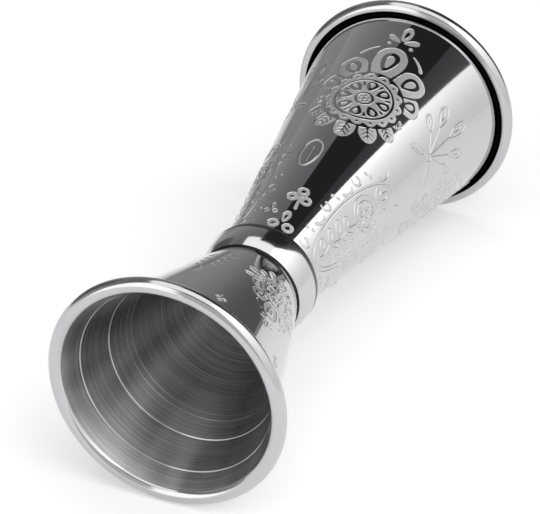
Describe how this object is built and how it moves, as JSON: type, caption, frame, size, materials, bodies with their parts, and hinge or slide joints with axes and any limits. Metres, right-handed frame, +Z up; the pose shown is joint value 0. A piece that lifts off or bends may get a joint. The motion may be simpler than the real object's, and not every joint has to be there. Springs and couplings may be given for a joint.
{
  "type": "double bar jigger",
  "caption": "Double-ended bar jigger: two conical spun-steel measuring cups with rolled rims, joined base to base under a crowned waist band.",
  "frame": {"origin": "middle of the footprint, on the surface that the jigger lies on", "axes": "+X along the jigger's axis from the small mouth to the large mouth, +Z up, the jigger lying on its two rims"},
  "size_m": [0.1164, 0.046, 0.046],
  "materials": {
    "cup_steel": "stainless steel, mirror polished outside with an acid-etched pattern, fine satin turning marks inside",
    "band_steel": "stainless steel, mirror polished",
    "solder": "dark silver solder, left as it flowed",
    "weld_metal": "as welded, hidden"
  },
  "bodies": {
    "root": {"small_cup": "cup_steel", "large_cup": "cup_steel", "waist_collar": "band_steel", "small_side_solder": "solder", "large_side_solder": "solder", "base_weld": "weld_metal"}
  },
  "joints": []
}
